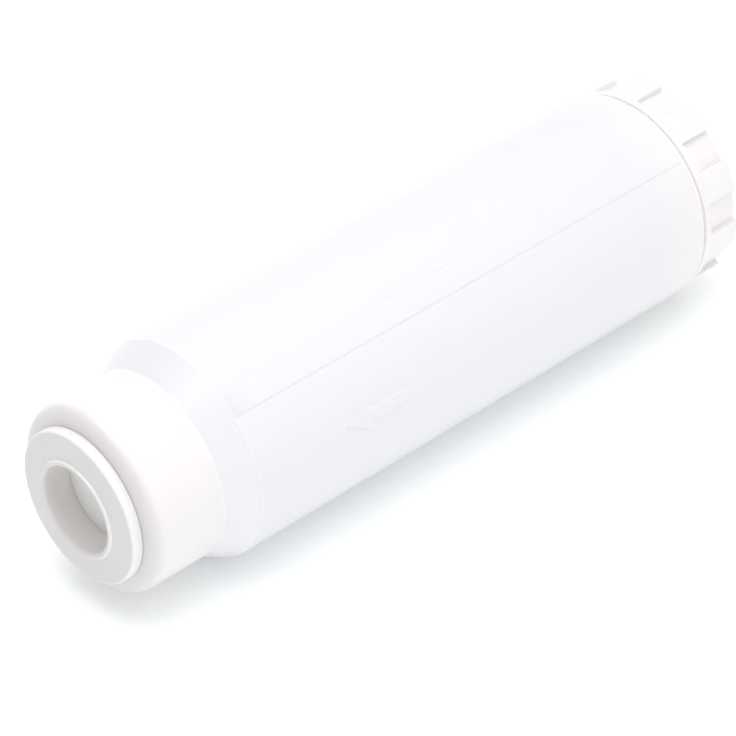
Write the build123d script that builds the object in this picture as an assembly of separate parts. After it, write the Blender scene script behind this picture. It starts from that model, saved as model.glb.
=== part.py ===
from build123d import *
import os
from math import hypot, radians, tan

# A ten inch granular carbon cartridge for an under-sink water filter housing, in millimetres.
# It stands on its inlet end. +Z runs along the axis towards the outlet, Z = 0 is the face of the
# inlet gasket, and the flow arrow on the tube faces -Y.

# Body: tube, shoulder, neck and front wall in one moulding, open at the inlet end
tube_diameter = 70.0
tube_wall = 2.4
tube_length = 185.3
tube_bevel = 0.35  # broken edge round the open end
shoulder_length = 9.4
shoulder_radius = 0.5  # crease between tube and shoulder
neck_diameter = 60.0
neck_wall = 2.6
neck_length = 25.8
neck_edge_radius = 3.8
front_wall = 3.2

# Mould lands down the tube, and the raised flow arrow
land_strip_width = 7.9
land_strip_height = 0.4
land_strip_angle = 39.1  # from the arrow, round the axis
arrow_length = 23.9
arrow_head_length = 7.8
arrow_head_width = 7.9
arrow_shaft_width = 4.3
arrow_height = 0.5
arrow_tip_drop = 34.7  # from the shoulder down to the tip
relief_root = 0.6  # how deep the raised marks start inside the wall

# Outlet gasket: a soft flange on a stem that snaps through the front wall
gasket_diameter = 48.8
gasket_bore_diameter = 28.0
gasket_rim = 3.8
gasket_crown = 0.5
gasket_flat_width = 2.9  # flat face outside the lip, before the crown falls away
gasket_lip_height = 0.8
gasket_lip_width = 1.6
gasket_lip_radius = 0.4
gasket_mouth_radius = 1.0  # inner edge of the lip
gasket_stem_wall = 3.0
gasket_stem_reach = 1.8  # how far the stem stands out of the front wall's inner face
gasket_bead = 0.9
gasket_bead_length = 1.2
stem_clearance = 0.1

# Outlet strainer, and the felt pad that fills the neck below it
strainer_thickness = 2.0
strainer_rib_width = 2.0
strainer_rib_count = 8
strainer_rib_inset = 1.5
strainer_hole_diameter = 3.2
strainer_hole_pitch = 6.3
bed_rise = 1.2  # how far the carbon stands up into the neck, below the pad
fill_clearance = 0.3

# Pads under the carbon
inlet_felt_thickness = 4.0
expansion_pad_thickness = 8.0

# End cap: a screw cap whose threaded spigot goes into the tube
barrel_length = 16.3
seam_groove_length = 1.6  # gap that shows between the tube's end and the collar
seam_groove_inset = 1.6  # its floor below the tube's outside, which also seats the tube's end
collar_length = 2.5
collar_inset = 0.8  # collar and grip lands below the tube's outside
grip_recess_inset = 2.6
grip_count = 10
grip_angle = -22.4  # from the arrow to the middle of a land
grip_edge_radius = 0.4
cap_edge_radius = 0.4
barrel_wall = 2.4
rear_wall = 3.0
spigot_length = 14.0
spigot_wall = 3.4
thread_gap = 1.1  # room between spigot and tube for the thread
slot_width = 3.0
slot_margin = 0.8

# O-ring in the spigot's groove
o_ring_section = 2.2
o_ring_clearance = 0.15
groove_clearance = 0.25
groove_offset = 1.2  # from the tube's end to the groove

# Inlet gasket on the end cap's boss
inlet_gasket_diameter = 44.0
inlet_gasket_rim = 4.0
inlet_gasket_stem = 5.0
inlet_gasket_edge = 0.6
boss_height = 4.1
boss_margin = 0.4
pocket_floor = 2.5
pocket_spare = 0.5

# Radii worked out from the sizes above
tube_radius = tube_diameter / 2
tube_inner_radius = tube_radius - tube_wall
neck_radius = neck_diameter / 2
neck_inner_radius = neck_radius - neck_wall
gasket_radius = gasket_diameter / 2
gasket_bore_radius = gasket_bore_diameter / 2
stem_radius = gasket_bore_radius + gasket_stem_wall
stem_hole_radius = stem_radius + stem_clearance
collar_radius = tube_radius - collar_inset
seam_groove_radius = tube_radius - seam_groove_inset
grip_recess_radius = tube_radius - grip_recess_inset
barrel_inner_radius = grip_recess_radius - barrel_wall
spigot_radius = tube_inner_radius - thread_gap
spigot_inner_radius = spigot_radius - spigot_wall
o_ring_middle = tube_inner_radius - o_ring_clearance - o_ring_section / 2
groove_floor_radius = o_ring_middle - o_ring_section / 2 - groove_clearance
inlet_gasket_radius = inlet_gasket_diameter / 2
boss_radius = inlet_gasket_radius + boss_margin
pocket_radius = stem_radius + stem_clearance

# Heights, built up from the inlet gasket's face
boss_z = inlet_gasket_rim
barrel_z = boss_z + boss_height
tube_bottom_z = barrel_z + barrel_length
tube_top_z = tube_bottom_z + tube_length
shoulder_z = tube_top_z + shoulder_length
front_z = shoulder_z + neck_length
front_inner_z = front_z - front_wall
gasket_face_z = front_z + gasket_rim + gasket_crown
overall_length = gasket_face_z + gasket_lip_height
spigot_top_z = tube_bottom_z + spigot_length
inlet_strainer_top_z = spigot_top_z + strainer_thickness
expansion_pad_top_z = inlet_strainer_top_z + expansion_pad_thickness
bed_bottom_z = expansion_pad_top_z + inlet_felt_thickness
outlet_strainer_top_z = front_inner_z - gasket_stem_reach
outlet_strainer_z = outlet_strainer_top_z - strainer_thickness
bed_top_z = shoulder_z + bed_rise
arrow_tip_z = tube_top_z - arrow_tip_drop
ARROW_POLAR = 270.0  # the arrow's direction round the axis, which is -Y


def outline(points):
    """Return the face inside a closed run of (radius, height) points, drawn in the XZ plane."""
    return make_face(Polyline(*[(radius, 0, height) for radius, height in points], close=True))


def rounded(face, radius, height, edge_radius):
    """Round the corner of an outline that lies at (radius, height)."""
    corner = face.vertices().sort_by_distance((radius, 0, height))[0]
    return fillet(corner, edge_radius)


def turned(face):
    """Turn an outline once round the axis."""
    return revolve(face, Axis.Z)


def ring(outer_radius, inner_radius, bottom, top):
    """Return a plain ring between two heights; an inner radius of zero gives a disc."""
    corners = [(inner_radius, bottom), (outer_radius, bottom), (outer_radius, top), (inner_radius, top)]
    return turned(outline(corners))


def around(count, start_angle=0.0):
    """Return the turns about the axis that share a full circle between equal copies."""
    return [Rot(0, 0, start_angle + 360.0 * index / count) for index in range(count)]


def sector(radius, angle, bottom, top):
    """Return a wedge of the given angle, centred on +X and reaching past the radius."""
    reach = 2 * radius
    half = radians(angle / 2)
    corners = [(0, 0), (reach, -reach * tan(half)), (reach, reach * tan(half))]
    return Pos(0, 0, bottom) * extrude(make_face(Polyline(*corners, close=True)), top - bottom)


def upright_edges(piece, radius):
    """Return the edges of a piece that run along Z at a distance from the axis."""
    near = radius / 1000
    return piece.edges().filter_by(Axis.Z).filter_by(
        lambda edge: abs(hypot(edge.center().X, edge.center().Y) - radius) < near)


def make_body():
    """Tube, shoulder, neck and front wall, with two opposite mould lands and an arrow to the outlet."""
    wall = outline([
        (tube_inner_radius, tube_bottom_z),
        (tube_radius - tube_bevel, tube_bottom_z),
        (tube_radius, tube_bottom_z + tube_bevel),
        (tube_radius, tube_top_z),
        (neck_radius, shoulder_z),
        (neck_radius, front_z),
        (stem_hole_radius, front_z),
        (stem_hole_radius, front_inner_z),
        (neck_inner_radius, front_inner_z),
        (neck_inner_radius, shoulder_z),
        (tube_inner_radius, tube_top_z),
    ])
    wall = rounded(wall, tube_radius, tube_top_z, shoulder_radius)
    wall = rounded(wall, neck_radius, front_z, neck_edge_radius)
    body = turned(wall)

    root_radius = tube_radius - relief_root
    strip_bottom = tube_bottom_z + tube_bevel
    strip_top = tube_top_z - shoulder_radius
    strip_skin = ring(tube_radius + land_strip_height, root_radius, strip_bottom, strip_top)
    strip_block = Pos(tube_radius, 0, (strip_bottom + strip_top) / 2) * Box(
        tube_radius, land_strip_width, strip_top - strip_bottom)
    strip = strip_skin & strip_block
    for turn in around(2, ARROW_POLAR + land_strip_angle):
        body += turn * strip

    shaft_half = arrow_shaft_width / 2
    head_half = arrow_head_width / 2
    neck_drop = -arrow_head_length
    arrow_points = [
        (0, 0),
        (head_half, neck_drop),
        (shaft_half, neck_drop),
        (shaft_half, -arrow_length),
        (-shaft_half, -arrow_length),
        (-shaft_half, neck_drop),
        (-head_half, neck_drop),
    ]
    arrow_face = make_face(Polyline(*[(x, 0, arrow_tip_z + z) for x, z in arrow_points], close=True))
    arrow_block = extrude(arrow_face, 2 * tube_radius, dir=(0, -1, 0))
    arrow_skin = ring(tube_radius + arrow_height, root_radius, arrow_tip_z - arrow_length, arrow_tip_z)
    return body + (arrow_skin & arrow_block)


def make_outlet_gasket():
    """A flange with a raised lip round its bore and a face that falls away to the rim, on a beaded stem."""
    stem_end_z = front_inner_z - gasket_stem_reach
    bead_z = front_inner_z - fill_clearance
    lip_radius = gasket_bore_radius + gasket_lip_width
    flat_end = (lip_radius + gasket_flat_width, 0, gasket_face_z)
    rim_top = (gasket_radius, 0, front_z + gasket_rim)
    crown = TangentArc(flat_end, rim_top, tangent=(1, 0, 0))
    rest = Polyline(
        rim_top,
        (gasket_radius, 0, front_z),
        (stem_radius, 0, front_z),
        (stem_radius, 0, bead_z),
        (stem_radius + gasket_bead, 0, bead_z),
        (stem_radius, 0, bead_z - gasket_bead_length),
        (stem_radius, 0, stem_end_z),
        (gasket_bore_radius, 0, stem_end_z),
        (gasket_bore_radius, 0, overall_length),
        (lip_radius, 0, overall_length),
        (lip_radius, 0, gasket_face_z),
        flat_end,
    )
    section = make_face(crown + rest)
    section = rounded(section, gasket_bore_radius, overall_length, gasket_mouth_radius)
    return turned(rounded(section, lip_radius, overall_length, gasket_lip_radius))


def perforated_disc(radius, bottom, top):
    """A strainer plate: round holes on rings, six more holes on each ring than on the last."""
    disc = ring(radius, 0, bottom, top)
    hole_radius = strainer_hole_diameter / 2
    drill = Pos(0, 0, (bottom + top) / 2) * Cylinder(hole_radius, 2 * (top - bottom))
    ring_count = int((radius - strainer_hole_diameter) / strainer_hole_pitch)
    holes = [drill]
    for index in range(1, ring_count + 1):
        for turn in around(6 * index):
            holes.append(turn * Pos(index * strainer_hole_pitch, 0, 0) * drill)
    return disc - holes


def make_outlet_strainer():
    """A plate on the gasket's stem, held off the front wall by ribs. Its pinholes are left out."""
    radius = neck_inner_radius - fill_clearance
    rib_inner = stem_radius + gasket_bead + strainer_rib_inset
    rib_outer = radius - strainer_rib_inset
    rib = Pos((rib_inner + rib_outer) / 2, 0, outlet_strainer_top_z + gasket_stem_reach / 2) * Box(
        rib_outer - rib_inner, strainer_rib_width, gasket_stem_reach)
    ribs = [turn * rib for turn in around(strainer_rib_count)]
    return ring(radius, 0, outlet_strainer_z, outlet_strainer_top_z) + ribs


def make_outlet_felt_pad():
    """The last filter: a thick felt plug in the neck, between the carbon and the outlet strainer."""
    return ring(neck_inner_radius - fill_clearance, 0, bed_top_z, outlet_strainer_z)


def make_carbon_bed():
    """The packed granules as one solid, which follow the inside of the tube and the shoulder."""
    tube_fill = tube_inner_radius - fill_clearance
    neck_fill = neck_inner_radius - fill_clearance
    return turned(outline([
        (0, bed_bottom_z),
        (tube_fill, bed_bottom_z),
        (tube_fill, tube_top_z),
        (neck_fill, shoulder_z),
        (neck_fill, bed_top_z),
        (0, bed_top_z),
    ]))


def make_inlet_felt_pad():
    """A felt disc that keeps the granules off the foam."""
    return ring(tube_inner_radius - fill_clearance, 0, expansion_pad_top_z, bed_bottom_z)


def make_expansion_pad():
    """An open-cell foam disc that takes up the bed's settling and swelling."""
    return ring(tube_inner_radius - fill_clearance, 0, inlet_strainer_top_z, expansion_pad_top_z)


def make_inlet_strainer():
    """The perforated plate that rests on the spigot's end and spreads the incoming water."""
    return perforated_disc(tube_inner_radius - fill_clearance, spigot_top_z, inlet_strainer_top_z)


def make_end_cap():
    """The screw cap: grip barrel with collar, spigot with groove, rear wall with slots, boss and pocket."""
    collar_top_z = tube_bottom_z - seam_groove_length
    grip_top_z = collar_top_z - collar_length
    rear_inner_z = barrel_z + rear_wall
    step_z = tube_bottom_z - barrel_wall
    groove_z = tube_bottom_z + groove_offset
    groove_top_z = groove_z + o_ring_section + 2 * groove_clearance
    pocket_top_z = boss_z + inlet_gasket_stem + pocket_spare
    cup_top_z = pocket_top_z + pocket_floor
    cup_radius = pocket_radius + pocket_floor
    wall = outline([
        (0, pocket_top_z),
        (pocket_radius, pocket_top_z),
        (pocket_radius, boss_z),
        (boss_radius, boss_z),
        (boss_radius, barrel_z),
        (collar_radius, barrel_z),
        (collar_radius, collar_top_z),
        (seam_groove_radius, collar_top_z),
        (seam_groove_radius, tube_bottom_z),
        (spigot_radius, tube_bottom_z),
        (spigot_radius, groove_z),
        (groove_floor_radius, groove_z),
        (groove_floor_radius, groove_top_z),
        (spigot_radius, groove_top_z),
        (spigot_radius, spigot_top_z),
        (spigot_inner_radius, spigot_top_z),
        (spigot_inner_radius, step_z),
        (barrel_inner_radius, step_z),
        (barrel_inner_radius, rear_inner_z),
        (cup_radius, rear_inner_z),
        (cup_radius, cup_top_z),
        (0, cup_top_z),
    ])
    edges = [(boss_radius, boss_z), (collar_radius, barrel_z), (collar_radius, collar_top_z),
             (spigot_radius, spigot_top_z)]
    for radius, height in edges:
        wall = rounded(wall, radius, height, cap_edge_radius)
    cap = turned(wall)

    recess_step = 180.0 / grip_count
    recess_skin = ring(tube_radius, grip_recess_radius, barrel_z - cap_edge_radius, grip_top_z)
    recess = recess_skin & sector(tube_radius, recess_step, barrel_z - cap_edge_radius, grip_top_z)
    cap -= [turn * recess for turn in around(grip_count, ARROW_POLAR + grip_angle + recess_step)]
    cap = fillet(upright_edges(cap, collar_radius), grip_edge_radius)

    slot_inner = boss_radius + slot_margin
    slot_outer = barrel_inner_radius - slot_margin
    slot = Pos((slot_inner + slot_outer) / 2, 0, barrel_z + rear_wall / 2) * Box(
        slot_outer - slot_inner, slot_width, 2 * rear_wall)
    return cap - [turn * slot for turn in around(2 * grip_count)]


def make_cap_o_ring():
    """The seal between spigot and tube."""
    middle_z = tube_bottom_z + groove_offset + groove_clearance + o_ring_section / 2
    return Pos(0, 0, middle_z) * Torus(o_ring_middle, o_ring_section / 2)


def make_inlet_gasket():
    """A flat flange that the cartridge stands on, with a stem pushed into the boss's pocket."""
    section = outline([
        (gasket_bore_radius, 0),
        (inlet_gasket_radius, 0),
        (inlet_gasket_radius, boss_z),
        (stem_radius, boss_z),
        (stem_radius, boss_z + inlet_gasket_stem),
        (gasket_bore_radius, boss_z + inlet_gasket_stem),
    ])
    return turned(rounded(section, inlet_gasket_radius, 0, inlet_gasket_edge))


pieces = {
    "body": make_body(),
    "outlet_gasket": make_outlet_gasket(),
    "outlet_strainer": make_outlet_strainer(),
    "outlet_felt_pad": make_outlet_felt_pad(),
    "carbon_bed": make_carbon_bed(),
    "inlet_felt_pad": make_inlet_felt_pad(),
    "expansion_pad": make_expansion_pad(),
    "inlet_strainer": make_inlet_strainer(),
    "end_cap": make_end_cap(),
    "cap_o_ring": make_cap_o_ring(),
    "inlet_gasket": make_inlet_gasket(),
}

os.makedirs("parts", exist_ok=True)
for name, piece in pieces.items():
    export_step(piece, f"parts/{name}.step")
print("overall length", round(overall_length, 2))
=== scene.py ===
import bmesh
import bpy
import numpy as np
from mathutils import Matrix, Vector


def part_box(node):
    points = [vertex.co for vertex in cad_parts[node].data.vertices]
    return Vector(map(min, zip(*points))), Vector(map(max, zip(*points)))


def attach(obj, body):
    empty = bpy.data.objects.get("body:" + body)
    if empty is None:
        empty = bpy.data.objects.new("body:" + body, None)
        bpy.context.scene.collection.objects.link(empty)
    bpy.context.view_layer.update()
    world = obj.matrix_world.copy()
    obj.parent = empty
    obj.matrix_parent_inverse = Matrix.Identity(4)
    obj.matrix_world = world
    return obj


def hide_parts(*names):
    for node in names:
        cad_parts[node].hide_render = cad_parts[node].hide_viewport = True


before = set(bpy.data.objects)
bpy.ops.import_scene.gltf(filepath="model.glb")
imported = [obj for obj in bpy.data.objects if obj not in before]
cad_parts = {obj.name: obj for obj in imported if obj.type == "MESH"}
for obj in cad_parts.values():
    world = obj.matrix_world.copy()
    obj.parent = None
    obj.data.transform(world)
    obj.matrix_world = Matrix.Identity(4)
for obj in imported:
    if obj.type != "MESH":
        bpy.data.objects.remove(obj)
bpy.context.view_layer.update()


# Body
# Tube, shoulder, neck and front wall are one moulding of translucent white polypropylene, with a raised
# flow arrow, two shallow lands where the halves of the mould met, and a coarse thread in its open end. The
# filling shows through: cool over the carbon, warm over felt and foam. The shoulder is given the palest tone.
body_low, body_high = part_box("body")
bed_low, bed_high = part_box("carbon_bed")
tube_length = 0.1853
tube_wall = 0.0024
shoulder_height = 0.0094
neck_radius = 0.0300
neck_wall = 0.0026
front_wall = 0.0032
stem_hole_radius = 0.0171
tube_radius = body_high.x
tube_inner_radius = tube_radius - tube_wall
tube_top = body_low.z + tube_length
shoulder_top = tube_top + shoulder_height
neck_inner_radius = neck_radius - neck_wall
front_inner = body_high.z - front_wall

tube_end_edge = 0.00035
tube_crease_edge = 0.0006
shoulder_crease_edge = 0.0010
neck_edge = 0.0038
stem_hole_edge = 0.0003
front_inner_edge = 0.0006

arrow_polar = np.radians(270.0)
arrow_below_crease = 0.0347
arrow_tip = tube_top - arrow_below_crease
arrow_length = 0.0239
arrow_head_length = 0.0078
arrow_head_half = 0.00395
arrow_shaft_half = 0.00215
arrow_height = -body_low.y - tube_radius
arrow_edge = 0.0006

land_polar = arrow_polar + np.radians(39.1)
land_half = 0.00395
land_height = 0.0004
land_edge = 0.0008

thread_lead = 0.005
thread_depth = 0.00075
thread_foot_half = 0.0012
thread_crest_half = 0.0005
thread_fade = 0.0012
body_thread_start = body_low.z + 0.0048
body_thread_end = body_low.z + 0.0135
body_thread_shift = 0.5


def rounded_outline(corners, arc_steps=6, hold=0.0001):
    """Round the corners of a closed run of (radius, height, rounding) corners, listed anticlockwise.

    Each corner is cut back by rounding / tan(half its angle) towards both neighbours, and an even arc
    about a centre on its bisector joins the cuts. One more point, a distance hold past each end of the
    arc, keeps the straight runs flat under smooth shading. The result is corners x points x 2.
    """
    corner, rounding = np.split(np.array(corners, float), [2], axis=1)
    to_last = np.roll(corner, 1, axis=0) - corner
    to_next = np.roll(corner, -1, axis=0) - corner
    to_last /= np.linalg.norm(to_last, axis=1, keepdims=True)
    to_next /= np.linalg.norm(to_next, axis=1, keepdims=True)
    half_angle = np.arccos(np.sum(to_last * to_next, axis=1, keepdims=True)) / 2
    cut = rounding / np.tan(half_angle)
    bisector = to_last + to_next
    bisector /= np.linalg.norm(bisector, axis=1, keepdims=True)
    centre = corner + bisector * rounding / np.sin(half_angle)
    first = (corner + to_last * cut - centre)[:, None]
    last = (corner + to_next * cut - centre)[:, None]
    swing = (np.pi - 2 * half_angle)[:, None]
    share = np.linspace(0, 1, arc_steps)[None, :, None]
    arc = (first * np.sin((1 - share) * swing) + last * np.sin(share * swing)) / np.sin(swing)
    before = (corner + to_last * (cut + hold))[:, None]
    after = (corner + to_next * (cut + hold))[:, None]
    return np.concatenate([before, arc + centre[:, None], after], axis=1)


def turned(outline, angles, swell=0.0):
    """Carry (radius, height) points round the axis: x = (r + swell) cos a, y = (r + swell) sin a, z = h."""
    radius, angle, height = np.broadcast_arrays(outline[:, :1] + swell, angles, outline[:, 1:])
    return np.stack([radius * np.cos(angle), radius * np.sin(angle), height], axis=-1)


def grid_piece(name, points, wrap_rows=True, wrap_columns=True, smooth=True):
    """Join a grid of points, rows x columns x 3, into four-sided faces. A wrapped side joins its last
    row or column to its first, and points that meet, as at a pole, become one."""
    rows, columns = points.shape[:2]
    index = np.arange(rows * columns).reshape(rows, columns)
    index = np.vstack([index, index[:1]]) if wrap_rows else index
    index = np.hstack([index, index[:, :1]]) if wrap_columns else index
    faces = np.stack([index[:-1, :-1], index[:-1, 1:], index[1:, 1:], index[1:, :-1]], axis=-1).reshape(-1, 4)
    mesh = bpy.data.meshes.new(name)
    mesh.from_pydata(points.reshape(-1, 3), [], faces)
    joined = bmesh.new()
    joined.from_mesh(mesh)
    bmesh.ops.remove_doubles(joined, verts=joined.verts, dist=1e-7)
    joined.to_mesh(mesh)
    joined.free()
    mesh.polygons.foreach_set("use_smooth", np.full(len(mesh.polygons), smooth))
    piece = bpy.data.objects.new(name, mesh)
    bpy.context.scene.collection.objects.link(piece)
    return piece


def soft_step(distance, edge):
    """1 inside an outline and 0 outside it, with an S-curve as wide as edge across distance 0."""
    share = np.clip(0.5 - distance / edge, 0, 1)
    return share * share * (3 - 2 * share)


def arrow_distance(across, along):
    """Distance out of the arrow, whose tip is at (0, 0). The head is where two slanted edges and a level
    one overlap, the shaft is a box that reaches into it, and the arrow is the nearer of the two."""
    slant = np.hypot(arrow_head_half, arrow_head_length)
    sides = (np.abs(across) * arrow_head_length + along * arrow_head_half) / slant
    head = np.maximum(sides, -arrow_head_length - along)
    shaft_top = -arrow_head_length / 2
    shaft_middle = (shaft_top - arrow_length) / 2
    shaft_reach = (shaft_top + arrow_length) / 2
    shaft = np.maximum(np.abs(across) - arrow_shaft_half, np.abs(along - shaft_middle) - shaft_reach)
    return np.minimum(head, shaft)


def thread_share(angles, heights, start, end, shift):
    """Height of a right-hand thread as a share of its depth: a trapezoid wave of height / lead - turns,
    moved by shift turns and faded out over the ends of its run."""
    phase = heights / thread_lead - angles / (2 * np.pi) + shift
    off_crest = np.abs((phase + 0.5) % 1 - 0.5) * thread_lead
    ridge = np.clip((thread_foot_half - off_crest) / (thread_foot_half - thread_crest_half), 0, 1)
    return ridge * np.clip(np.minimum(heights - start, end - heights) / thread_fade, 0, 1)


def fine_near(coarse, centres, half_width, step):
    """Merge an even run of values with finer runs around each centre, sorted, without near repeats."""
    fine = np.arange(-half_width, half_width + step / 2, step)
    merged = np.sort(np.concatenate([coarse, (np.array(centres)[:, None] + fine).ravel()]))
    return merged[np.concatenate([[True], np.diff(merged) > step / 4])]


body_column_count = 180
wall_row_count = 24
bore_row_count = 6
thread_row_count = 42
row_margin = 0.001
arrow_column_step = 0.00022
arrow_row_step = 0.00024
land_column_step = 0.0002
arrow_side_reach = 1.25 * arrow_head_half
arrow_end_reach = 0.55 * arrow_length

land_edges = [land_polar + side * land_half / tube_radius + turn for turn in (0, -np.pi) for side in (-1, 1)]
body_angles = np.linspace(0, 2 * np.pi, body_column_count, endpoint=False)
body_angles = fine_near(body_angles, [arrow_polar], arrow_side_reach / tube_radius,
                        arrow_column_step / tube_radius)
body_angles = fine_near(body_angles, land_edges, land_edge / tube_radius, land_column_step / tube_radius)
wall_heights = np.linspace(body_low.z + row_margin, tube_top - row_margin, wall_row_count)
wall_heights = fine_near(wall_heights, [arrow_tip - arrow_length / 2], arrow_end_reach, arrow_row_step)
bore_heights = np.concatenate([
    np.linspace(tube_top - row_margin, body_thread_end + row_margin, bore_row_count),
    np.linspace(body_thread_end, body_thread_start - row_margin, thread_row_count)])
body_corners = rounded_outline(
    [(tube_radius, body_low.z, tube_end_edge), (tube_radius, tube_top, tube_crease_edge),
     (neck_radius, shoulder_top, shoulder_crease_edge), (neck_radius, body_high.z, neck_edge),
     (stem_hole_radius, body_high.z, stem_hole_edge), (stem_hole_radius, front_inner, stem_hole_edge),
     (neck_inner_radius, front_inner, front_inner_edge),
     (neck_inner_radius, shoulder_top, shoulder_crease_edge),
     (tube_inner_radius, tube_top, tube_crease_edge), (tube_inner_radius, body_low.z, tube_end_edge)],
    arc_steps=8)
wall_rows = np.stack([np.full_like(wall_heights, tube_radius), wall_heights], axis=-1)
bore_rows = np.stack([np.full_like(bore_heights, tube_inner_radius), bore_heights], axis=-1)
body_rows = np.concatenate(
    [body_corners[0], wall_rows, body_corners[1:9].reshape(-1, 2), bore_rows, body_corners[9]])
across_arrow = tube_radius * (body_angles - arrow_polar)
across_land = tube_radius * ((body_angles - land_polar + np.pi / 2) % np.pi - np.pi / 2)
arrow_relief = arrow_height * soft_step(
    arrow_distance(across_arrow, wall_heights[:, None] - arrow_tip), arrow_edge)
land_relief = land_height * soft_step(np.abs(across_land) - land_half, land_edge)
body_swell = np.zeros((len(body_rows), len(body_angles)))
wall_first = len(body_corners[0])
body_swell[wall_first:wall_first + len(wall_rows)] = np.maximum(arrow_relief, land_relief)
bore_last = len(body_rows) - len(body_corners[9])
body_swell[bore_last - len(bore_rows):bore_last] = -thread_depth * thread_share(
    body_angles, bore_heights[:, None], body_thread_start, body_thread_end, body_thread_shift)
body = grid_piece("shell_moulding", turned(body_rows, body_angles, body_swell))


class Varying:
    """A value that changes over a surface. Sums and products with it add Math nodes to its finish."""

    def __init__(self, finish, socket):
        self.finish = finish
        self.socket = socket

    def math(self, operation, first, second):
        return self.finish.node("ShaderNodeMath", {"operation": operation}, {0: first, 1: second})

    def __add__(self, other):
        return self.math("ADD", self, other)

    def __radd__(self, other):
        return self.math("ADD", other, self)

    def __sub__(self, other):
        return self.math("SUBTRACT", self, other)

    def __rsub__(self, other):
        return self.math("SUBTRACT", other, self)

    def __mul__(self, other):
        return self.math("MULTIPLY", self, other)

    def __rmul__(self, other):
        return self.math("MULTIPLY", other, self)


class Finish:
    """A material: constants go on its shader's own sockets, and nodes feed what varies."""

    def __init__(self, name, constants):
        self.material = bpy.data.materials.new(name)
        self.material.use_nodes = True
        self.tree = self.material.node_tree
        self.shader = self.tree.nodes["Principled BSDF"]
        for socket, value in constants.items():
            self.shader.inputs[socket].default_value = value
        self.place = self.node("ShaderNodeTexCoord", {}, {}, "Object")

    def node(self, kind, settings, inputs, output=0):
        made = self.tree.nodes.new(kind)
        for name, value in settings.items():
            setattr(made, name, value)
        for socket, value in inputs.items():
            if isinstance(value, Varying):
                self.tree.links.new(value.socket, made.inputs[socket])
            else:
                made.inputs[socket].default_value = value
        return Varying(self, made.outputs[output])

    def feed(self, socket, value):
        self.tree.links.new(value.socket, self.shader.inputs[socket])

    def noise(self, scale, detail=2.0):
        return self.node("ShaderNodeTexNoise", {}, {"Vector": self.place, "Scale": scale, "Detail": detail})

    def rise(self, value, start, end):
        """0 up to start and 1 from end on, with an S-curve between them."""
        return self.node("ShaderNodeMapRange", {"interpolation_type": "SMOOTHSTEP"},
                         {"Value": value, "From Min": start, "From Max": end})

    def band(self, value, start, end):
        """1 between two spans: an S-curve up over the span start, and one down over the span end."""
        return self.rise(value, *start) * (1 - self.rise(value, *end))

    def height(self):
        """Height above the floor."""
        return self.node("ShaderNodeSeparateXYZ", {}, {0: self.place}, "Z")

    def off_axis(self):
        """Distance from the part's axis."""
        level = self.node("ShaderNodeVectorMath", {"operation": "MULTIPLY"}, {0: self.place, 1: (1, 1, 0)})
        return self.node("ShaderNodeVectorMath", {"operation": "LENGTH"}, {0: level}, "Value")

    def tint(self, factor, first, second):
        return self.node("ShaderNodeMix", {"data_type": "RGBA"}, {0: factor, 6: first, 7: second}, 2)

    def bump(self, height, distance):
        return self.node("ShaderNodeBump", {}, {"Strength": 1.0, "Distance": distance, "Height": height})

    def wear(self, piece):
        piece.data.materials.clear()
        piece.data.materials.append(self.material)


flow_scale = 18.0
ripple_scale = 260.0
grain_scale = 1500.0
grain_relief = 0.00002


def moulded_plastic(name, pale, deep, roughness):
    """Moulded polypropylene. Its tone drifts with the melt's flow, its sheen with flow and grain, and its
    relief is seven parts of the mould's grain to three of a coarser ripple."""
    finish = Finish(name, {"IOR": 1.49})
    flow = finish.noise(flow_scale)
    ripple = finish.noise(ripple_scale)
    grain = finish.noise(grain_scale)
    finish.colour = finish.tint(flow, pale, deep)
    finish.feed("Base Color", finish.colour)
    finish.feed("Roughness", roughness + 0.12 * (flow - 0.5) + 0.06 * grain)
    finish.feed("Normal", finish.bump(0.7 * grain + 0.3 * ripple, grain_relief))
    return finish


warm_white = (0.785, 0.757, 0.752, 1)
warm_white_deep = (0.775, 0.747, 0.742, 1)
cool_white = (0.73, 0.719, 0.749, 1)
shoulder_white = (0.82, 0.803, 0.836, 1)
body_roughness = 0.32
bed_start = (bed_low.z - 0.032, bed_low.z - 0.006)
bed_end = (bed_high.z - 0.004, bed_high.z + 0.002)
shoulder_start = (tube_top - 0.0008, tube_top + 0.0008)
shoulder_end = (shoulder_top - 0.001, shoulder_top + 0.002)

body_plastic = moulded_plastic("body_plastic", warm_white, warm_white_deep, body_roughness)
body_height = body_plastic.height()
over_bed = body_plastic.band(body_height, bed_start, bed_end)
on_shoulder = body_plastic.band(body_height, shoulder_start, shoulder_end)
filled_colour = body_plastic.tint(over_bed, body_plastic.colour, cool_white)
body_plastic.feed("Base Color", body_plastic.tint(on_shoulder, filled_colour, shoulder_white))
body_plastic.wear(body)
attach(body, "shell")
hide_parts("body")


# Outlet gasket
# A soft thermoplastic rubber flange that seals on the housing. A low lip stands round its bore, its face
# falls away to the rim, and its beaded stem snaps through the front wall of the neck. Its colour carries
# painted light: the rim is painted paler, the lip carries a painted highlight, and the bore wall deep in
# the stem is painted paler to lift its shade.
gasket_low, gasket_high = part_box("outlet_gasket")
gasket_radius = gasket_high.x
bore_radius = 0.0140
lip_width = 0.0016
lip_height = 0.0008
flat_width = 0.0029
rim_height = 0.0038
stem_wall = 0.0030
bead_height = 0.0009
bead_length = 0.0012
bead_gap = 0.0003
lip_radius = bore_radius + lip_width
flat_radius = lip_radius + flat_width
gasket_face = gasket_high.z - lip_height
rim_top = body_high.z + rim_height
stem_radius = bore_radius + stem_wall
bead_radius = stem_radius + bead_height
bead_top = front_inner - bead_gap
bead_bottom = bead_top - bead_length
round_column_count = 240
round_angles = np.linspace(0, 2 * np.pi, round_column_count, endpoint=False)

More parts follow.
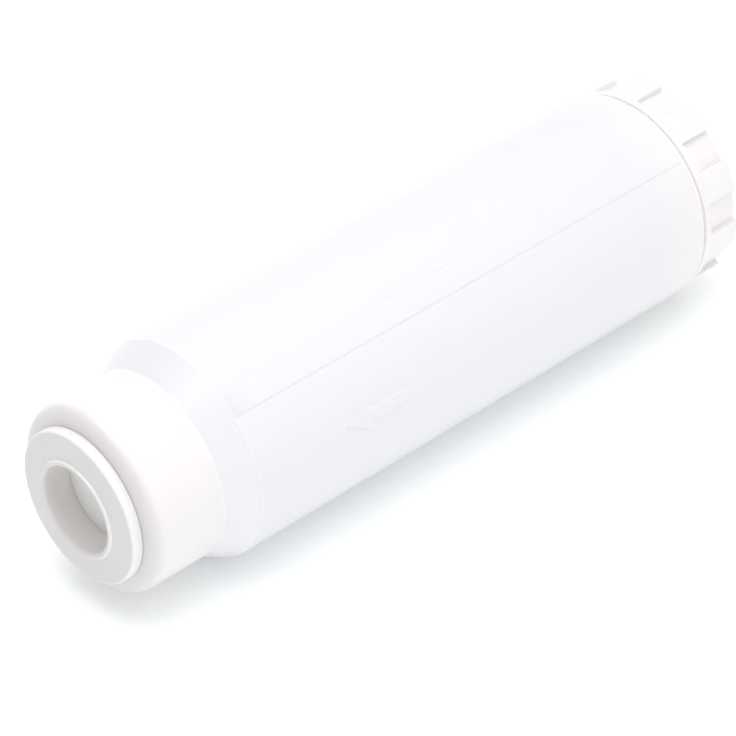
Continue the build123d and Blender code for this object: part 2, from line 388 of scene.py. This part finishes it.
gasket_outline = rounded_outline(
    [(bore_radius, gasket_low.z, 0.0003), (stem_radius, gasket_low.z, 0.0002),
     (stem_radius, bead_bottom, 0.0002), (bead_radius, bead_top, 0.0002), (stem_radius, bead_top, 0.0001),
     (stem_radius, body_high.z, 0.0002), (gasket_radius, body_high.z, 0.0005),
     (gasket_radius, rim_top, 0.0008), (flat_radius, gasket_face, 0.0300),
     (lip_radius, gasket_face, 0.00035), (lip_radius, gasket_high.z, 0.00035),
     (bore_radius, gasket_high.z, 0.0010)],
    arc_steps=10)
outlet_gasket = grid_piece("gasket", turned(gasket_outline.reshape(-1, 2), round_angles))

cloud_scale = 60.0
cloud_detail = 3.0
pebble_scale = 2200.0
pebble_relief = 0.00003


def soft_rubber(name, pale, deep, roughness):
    """Unfilled rubber: cloudy tone, and a matt skin whose sheen and relief follow a fine pebble."""
    finish = Finish(name, {"IOR": 1.5})
    cloud = finish.noise(cloud_scale, cloud_detail)
    pebble = finish.noise(pebble_scale)
    finish.colour = finish.tint(cloud, pale, deep)
    finish.feed("Base Color", finish.colour)
    finish.feed("Roughness", roughness + 0.1 * (pebble - 0.5))
    finish.feed("Normal", finish.bump(pebble, pebble_relief))
    return finish


face_grey = (0.775, 0.751, 0.747, 1)
face_grey_deep = (0.757, 0.733, 0.729, 1)
# Painted light: the rim's colour is paler than the face's and stands in for the light the rim catches.
rim_painted_light = (0.87, 0.855, 0.85, 1)
# Painted highlight: the lip's colour is a bright band that stands in for the light on its crest.
lip_painted_highlight = (0.94, 0.92, 0.915, 1)
# Painted light: the colour deep in the stem's bore is paler and lifts the shade there.
bore_painted_light = (0.82, 0.8, 0.765, 1)
gasket_roughness = 0.5
rim_start = (gasket_radius - 0.0008, gasket_radius - 0.0002)
lip_start = (lip_radius - 0.0003, lip_radius - 0.0001)
lip_end = (lip_radius + 0.0001, lip_radius + 0.0003)
lip_foot = (gasket_face - 0.0002, gasket_face + 0.0001)
bore_wall_end = (bore_radius + 0.0001, bore_radius + 0.0004)
stem_end = (gasket_face - 0.0070, gasket_face - 0.0025)

gasket_rubber = soft_rubber("gasket_rubber", face_grey, face_grey_deep, gasket_roughness)
from_axis = gasket_rubber.off_axis()
gasket_height = gasket_rubber.height()
# Painted light on the rim.
on_rim = gasket_rubber.rise(from_axis, *rim_start)
# Painted highlight round the lip.
on_lip = gasket_rubber.band(from_axis, lip_start, lip_end) * gasket_rubber.rise(gasket_height, *lip_foot)
on_bore_wall = 1 - gasket_rubber.rise(from_axis, *bore_wall_end)
# Painted light that lifts the shade deep in the bore.
in_stem = on_bore_wall * (1 - gasket_rubber.rise(gasket_height, *stem_end))
rim_lit_colour = gasket_rubber.tint(on_rim, gasket_rubber.colour, rim_painted_light)
lip_highlit_colour = gasket_rubber.tint(on_lip, rim_lit_colour, lip_painted_highlight)
gasket_rubber.feed("Base Color", gasket_rubber.tint(in_stem, lip_highlit_colour, bore_painted_light))
gasket_rubber.wear(outlet_gasket)
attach(outlet_gasket, "shell")
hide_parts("outlet_gasket")


# Strainer plates
# Two discs of natural polypropylene hold the filling in, both pricked all over with pinholes that are
# painted on as grey dots: painted shade where each hole would be dim. The outlet one stands off the front
# wall on ribs. The inlet one, on the end cap's spigot, has larger holes as well.
pinhole_pitch = 0.0010
pinhole_edge = (0.18, 0.28)
strainer_pale = (0.93, 0.92, 0.92, 1)
strainer_deep = (0.91, 0.9, 0.9, 1)
pinhole_painted_shade = (0.82, 0.81, 0.8, 1)
strainer_roughness = 0.45

strainer_plastic = moulded_plastic("strainer_plastic", strainer_pale, strainer_deep, strainer_roughness)
off_pinhole = strainer_plastic.node("ShaderNodeTexVoronoi", {"voronoi_dimensions": "2D"},
                                    {"Vector": strainer_plastic.place, "Scale": 1 / pinhole_pitch,
                                     "Randomness": 0.0})
# Painted shade: a grey dot at each pinhole.
pinhole = 1 - strainer_plastic.rise(off_pinhole, *pinhole_edge)
strainer_plastic.feed("Base Color", strainer_plastic.tint(pinhole, strainer_plastic.colour, pinhole_painted_shade))
for plate in ("outlet_strainer", "inlet_strainer"):
    strainer_plastic.wear(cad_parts[plate])


# Felt pads
# Needled polyester felt: a thick plug in the neck that holds back carbon dust, and a disc under the bed.
# Both are punched from sheet, so their edges are square and hairy, and their neighbours hold them flat.
felt_edge = 0.0009
felt_hair = 0.00025
felt_step = 0.0008
hair_draw = np.random.default_rng(11)


def disc_outline(low, high, edge, step):
    """A disc's half section from the axis below to the axis above: level runs and an upright side, all
    in steps of about the given length, joined by two rounded corners."""
    radius = high.x
    corners = rounded_outline([(0, low.z, edge), (radius, low.z, edge),
                               (radius, high.z, edge), (0, high.z, edge)])
    inset = 1.5 * edge
    spread = np.linspace(0, radius - inset, int(radius / step))
    climb = np.linspace(low.z + inset, high.z - inset, int((high.z - low.z) / step))
    below = np.stack([spread, np.full_like(spread, low.z)], axis=-1)
    side = np.stack([np.full_like(climb, radius), climb], axis=-1)
    above = np.stack([spread[::-1], np.full_like(spread, high.z)], axis=-1)
    return np.concatenate([below, corners[1], side, corners[2], above])


def roughened(points, depth, draw):
    """Sink each point towards the middle of the piece by a random share of depth, the same share round
    a pole, so the surface breaks up without leaving its box."""
    inward = points.reshape(-1, 3).mean(axis=0) - points
    inward /= np.linalg.norm(inward, axis=-1, keepdims=True) + 1e-9
    share = draw.random(points.shape[:2] + (1,))
    on_axis = np.hypot(points[..., :1], points[..., 1:2]) < 1e-9
    return points + inward * depth * np.where(on_axis, 0.5, share)


felt_pale = (0.87, 0.86, 0.82, 1)
felt_deep = (0.66, 0.65, 0.61, 1)
hair_scale = 900.0
hair_detail = 6.0
hair_relief = 0.0003

felt = Finish("felt", {"Roughness": 0.95})
hairs = felt.noise(hair_scale, hair_detail)
felt.feed("Base Color", felt.tint(hairs, felt_pale, felt_deep))
felt.feed("Normal", felt.bump(hairs, hair_relief))
for node in ("outlet_felt_pad", "inlet_felt_pad"):
    pad_low, pad_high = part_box(node)
    pad_grid = turned(disc_outline(pad_low, pad_high, felt_edge, felt_step), round_angles)
    pad = grid_piece(node.replace("_pad", ""), roughened(pad_grid, felt_hair, hair_draw), wrap_rows=False)
    felt.wear(pad)
    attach(pad, "shell")
    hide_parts(node)


# Carbon bed
# Granules of activated carbon, a millimetre or two across, are poured in and shaken down until they fill
# the tube and the shoulder.
bed_gap = 0.0003
bed_radius = bed_high.x
granule = 0.0011
granule_depth = 0.0008
granule_draw = np.random.default_rng(5)

bed_turns = np.array([
    (0, bed_low.z), (bed_radius, bed_low.z), (bed_radius, tube_top),
    (neck_inner_radius - bed_gap, shoulder_top), (neck_inner_radius - bed_gap, bed_high.z), (0, bed_high.z)])
run_lengths = np.concatenate([[0], np.cumsum(np.linalg.norm(np.diff(bed_turns, axis=0), axis=1))])
run_steps = np.linspace(0, run_lengths[-1], int(run_lengths[-1] / granule))
bed_outline = np.stack([np.interp(run_steps, run_lengths, bed_turns[:, axis]) for axis in (0, 1)], axis=-1)
bed_angles = np.linspace(0, 2 * np.pi, int(2 * np.pi * bed_radius / granule), endpoint=False)
carbon_bed = grid_piece(
    "carbon_granules", roughened(turned(bed_outline, bed_angles), granule_depth, granule_draw),
    wrap_rows=False, smooth=False)

carbon_black = (0.008, 0.008, 0.009, 1)
carbon_grey = (0.05, 0.05, 0.052, 1)
fleck_scale = 1100.0
fleck_detail = 4.0
fleck_relief = 0.0004

carbon = Finish("carbon", {"IOR": 1.6})
fleck = carbon.noise(fleck_scale, fleck_detail)
carbon.feed("Base Color", carbon.tint(fleck, carbon_black, carbon_grey))
carbon.feed("Roughness", 0.45 + 0.5 * fleck)
carbon.feed("Normal", carbon.bump(fleck, fleck_relief))
carbon.wear(carbon_bed)
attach(carbon_bed, "shell")
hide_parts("carbon_bed")


# Expansion pad
# A disc of open-cell polyurethane foam, squeezed between the strainer and the felt, that keeps the bed
# tight as it settles. The cut face shows the cells, their middles painted darker: painted shade in the pores.
foam_low, foam_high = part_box("expansion_pad")
foam_edge = 0.0012
foam_pit = 0.0005
foam_step = 0.0006
foam_draw = np.random.default_rng(23)
foam_pale = (0.82, 0.8, 0.72, 1)
foam_pore_shade = (0.4, 0.38, 0.32, 1)
cell_scale = 900.0
cell_relief = 0.0006

foam_grid = turned(disc_outline(foam_low, foam_high, foam_edge, foam_step), round_angles)
expansion_pad = grid_piece("foam_pad", roughened(foam_grid, foam_pit, foam_draw), wrap_rows=False)
foam = Finish("foam", {"Roughness": 0.9})
cell = foam.node("ShaderNodeTexVoronoi", {"feature": "DISTANCE_TO_EDGE"},
                 {"Vector": foam.place, "Scale": cell_scale})
# Painted shade: each cell darkens towards its middle, as shade in its open pore.
foam.feed("Base Color", foam.tint(2.5 * cell, foam_pale, foam_pore_shade))
foam.feed("Normal", foam.bump(1 - cell, cell_relief))
foam.wear(expansion_pad)
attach(expansion_pad, "shell")
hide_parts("expansion_pad")


# End cap
# A polypropylene screw cap: a barrel with broad lands to grip, slots in its rear wall that let water in,
# and a spigot, moulded with its thread, that screws into the body. All above the collar, the step at the
# spigot's foot and the spigot with its thread, is painted paler: painted light that lifts the shade in the
# seam's groove.
thread_gap = 0.0011
seam_groove = 0.0016
spigot_radius = tube_inner_radius - thread_gap
spigot_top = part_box("end_cap")[1].z
collar_top = body_low.z - seam_groove
cap_thread_start = body_low.z + 0.0046
cap_thread_end = spigot_top - 0.0010
cap_thread_shift = 0.0
thread_sink = 0.0004
thread_turn_steps = 120


def thread_ridge(name, radius, start, end, shift):
    """Carry a trapezoid along a right-hand helix, x = r cos a, y = r sin a, z = lead (turns - shift) + h,
    with its crest faded down to the root at both ends. Its foot is sunk into the wall that carries it."""
    first = start + thread_foot_half
    last = end - thread_foot_half
    steps = int((last - first) / thread_lead * thread_turn_steps)
    turns = np.linspace(first, last, steps) / thread_lead + shift
    middle = thread_lead * (turns - shift)
    fade = np.clip(np.minimum(middle - first, last - middle) / thread_fade, 0, 1)
    foot, crest = thread_foot_half, thread_crest_half
    lift = np.array([0, 0, 1, 1, 0, 0]) * thread_depth
    sink = np.array([1, 0, 0, 0, 0, 1]) * thread_sink
    axial = np.array([-foot, -foot, -crest, crest, foot, foot])
    reach = radius + lift * fade[:, None] - sink
    angle = 2 * np.pi * turns[:, None]
    height = middle[:, None] + axial
    points = np.stack([reach * np.cos(angle), reach * np.sin(angle), height], axis=-1)
    closed = np.concatenate([points[:1] * 0 + points[0].mean(axis=0), points,
                             points[:1] * 0 + points[-1].mean(axis=0)])
    return grid_piece(name, closed[:, ::-1], wrap_rows=False, smooth=False)


cap_pale = (0.803, 0.775, 0.781, 1)
cap_deep = (0.793, 0.765, 0.771, 1)
# Painted light: the paler colour above the collar lifts the shade in the seam's groove.
spigot_painted_light = (0.96, 0.945, 0.94, 1)
cap_roughness = 0.3
step_start = (collar_top - 0.0001, collar_top + 0.0001)

cap_plastic = moulded_plastic("cap_plastic", cap_pale, cap_deep, cap_roughness)
# Painted light above the collar.
above_collar = cap_plastic.rise(cap_plastic.height(), *step_start)
cap_plastic.feed("Base Color", cap_plastic.tint(above_collar, cap_plastic.colour, spigot_painted_light))
cap_plastic.wear(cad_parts["end_cap"])
cap_thread = thread_ridge("cap_thread", spigot_radius, cap_thread_start, cap_thread_end, cap_thread_shift)
cap_plastic.wear(cap_thread)
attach(cap_thread, "screw_cap")


# O-ring
# A black nitrile ring of round section in the groove at the root of the spigot. It seals on the body's
# bore and slides with the cap.
ring_low, ring_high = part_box("cap_o_ring")
ring_section = (ring_high.z - ring_low.z) / 2
ring_row_count = 32
nitrile_black = (0.02, 0.02, 0.021, 1)
nitrile_grey = (0.03, 0.03, 0.031, 1)
nitrile_roughness = 0.42

ring_turn = np.linspace(0, 2 * np.pi, ring_row_count, endpoint=False)
ring_outline = np.stack([ring_high.x - ring_section + ring_section * np.cos(ring_turn),
                         ring_low.z + ring_section + ring_section * np.sin(ring_turn)], axis=-1)
cap_o_ring = grid_piece("o_ring", turned(ring_outline, round_angles))
o_ring_rubber = soft_rubber("o_ring_rubber", nitrile_black, nitrile_grey, nitrile_roughness)
o_ring_rubber.wear(cap_o_ring)
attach(cap_o_ring, "cap_seal")
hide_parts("cap_o_ring")


# Inlet gasket
# A flat ring of the same soft rubber as the outlet's, on the end cap's boss. Its stem is pushed into the
# boss's pocket, and the cartridge stands on its face.
foot_low, foot_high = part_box("inlet_gasket")
foot_radius = foot_high.x
boss_face = 0.0040
foot_outline = rounded_outline(
    [(bore_radius, foot_low.z, 0.0004), (foot_radius, foot_low.z, 0.0006),
     (foot_radius, boss_face, 0.0005), (stem_radius, boss_face, 0.0002),
     (stem_radius, foot_high.z, 0.0003), (bore_radius, foot_high.z, 0.0003)])
inlet_gasket = grid_piece("foot_gasket", turned(foot_outline.reshape(-1, 2), round_angles))
# The outlet gasket's finish also paints this ring's bore wall paler: painted light that lifts its shade.
gasket_rubber.wear(inlet_gasket)
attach(inlet_gasket, "screw_cap")
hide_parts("inlet_gasket")


# Camera
# The photograph looks down on the cartridge as it lay on a table, with its outlet towards the camera. The
# part stands upright here, so the camera is rolled until the cartridge lies across the picture as it did.
table_polar = np.radians(165.6)
view_pitch = np.radians(38.14)
axis_yaw = np.radians(43.14)
lens_pixels = 3600.0
picture_pixels = 736.0
camera_before_front = 0.4772
camera_above_axis = 0.6637
camera_beside_axis = 0.6259

table_up = -np.array([np.cos(table_polar), np.sin(table_polar), 0.0])
to_inlet = np.array([0.0, 0.0, -1.0])
beside = np.cross(to_inlet, table_up)
picture_right = np.cos(axis_yaw) * to_inlet + np.sin(axis_yaw) * beside
away = np.sin(axis_yaw) * to_inlet - np.cos(axis_yaw) * beside
sight = np.cos(view_pitch) * away - np.sin(view_pitch) * table_up
picture_up = np.sin(view_pitch) * away + np.cos(view_pitch) * table_up
front_centre = np.array([0.0, 0.0, body_high.z])
camera_place = (front_centre - camera_before_front * to_inlet
                + camera_above_axis * table_up + camera_beside_axis * beside)

camera_data = bpy.data.cameras.new("camera")
camera_data.sensor_width = 36.0
camera_data.lens = camera_data.sensor_width * lens_pixels / picture_pixels
camera_data.clip_end = 20.0
camera = bpy.data.objects.new("camera", camera_data)
turn = np.eye(4)
turn[:3, 0] = picture_right
turn[:3, 1] = picture_up
turn[:3, 2] = -sight
turn[:3, 3] = camera_place
camera.matrix_world = Matrix(turn.tolist())
bpy.context.scene.collection.objects.link(camera)
bpy.context.scene.camera = camera


# Stage
# A pale floor under the upright cartridge, and a pale board that touches its side where the table was in
# the photograph. Both show from their front only, so that no view is blocked.
stage_reach = 12.0
stage_gap = 0.0001
stage_roughness = 0.35
floor_white = (0.93, 0.93, 0.93, 1)
floor_glow = 0.48
table_white = (0.91, 0.935, 0.932, 1)
table_glow = 0.165


def stage_plane(name, centre, across, along, colour, glow):
    """A square sheet, centre + u across + v along, with u and v from -reach to reach."""
    span = np.array([-stage_reach, stage_reach])
    points = centre + span[:, None, None] * along + span[None, :, None] * across
    plane = grid_piece(name, points, wrap_rows=False, wrap_columns=False)
    paper = Finish(name, {"Base Color": colour, "Roughness": stage_roughness,
                          "Emission Color": colour, "Emission Strength": glow})
    behind = paper.node("ShaderNodeNewGeometry", {}, {}, "Backfacing")
    clear = paper.node("ShaderNodeBsdfTransparent", {}, {})
    front = Varying(paper, paper.shader.outputs[0])
    shown = paper.node("ShaderNodeMixShader", {}, {0: behind, 1: front, 2: clear})
    paper.tree.links.new(shown.socket, paper.tree.nodes["Material Output"].inputs["Surface"])
    paper.wear(plane)


stage_plane("floor", np.array([0, 0, -stage_gap]), np.array([1, 0, 0]), np.array([0, 1, 0]),
            floor_white, floor_glow)
stage_plane("table", -table_up * (tube_radius + stage_gap), beside, to_inlet, table_white, table_glow)


# Light
# A wide soft light over the table, as in the photograph, a weaker one from the camera's right, and an
# even surround.
def soft_light(name, place, aim, size, power):
    """A square light at place that faces aim and doesn't show itself to the camera."""
    data = bpy.data.lights.new(name, "AREA")
    data.size = size
    data.energy = power
    lamp = bpy.data.objects.new(name, data)
    back = place - aim
    back = back / np.linalg.norm(back)
    slant = np.array([0.3, 0.5, 0.8])
    side = np.cross(slant, back)
    side = side / np.linalg.norm(side)
    pose = np.eye(4)
    pose[:3, 0] = side
    pose[:3, 1] = np.cross(back, side)
    pose[:3, 2] = back
    pose[:3, 3] = place
    lamp.matrix_world = Matrix(pose.tolist())
    lamp.visible_camera = False
    bpy.context.scene.collection.objects.link(lamp)


middle = np.array([0.0, 0.0, tube_top / 2])
overhead_place = middle + 1.6 * table_up
overhead_size = 1.6
overhead_power = 20.5
side_place = middle + 0.6 * table_up + 1.5 * beside
side_size = 1.2
side_power = 4.1
surround_strength = 0.557

soft_light("overhead", overhead_place, middle, overhead_size, overhead_power)
soft_light("side", side_place, middle, side_size, side_power)
surround = bpy.data.worlds.new("surround")
surround.use_nodes = True
surround.node_tree.nodes["Background"].inputs["Color"].default_value = (1, 1, 1, 1)
surround.node_tree.nodes["Background"].inputs["Strength"].default_value = surround_strength
bpy.context.scene.world = surround
bpy.context.scene.view_settings.view_transform = "Standard"
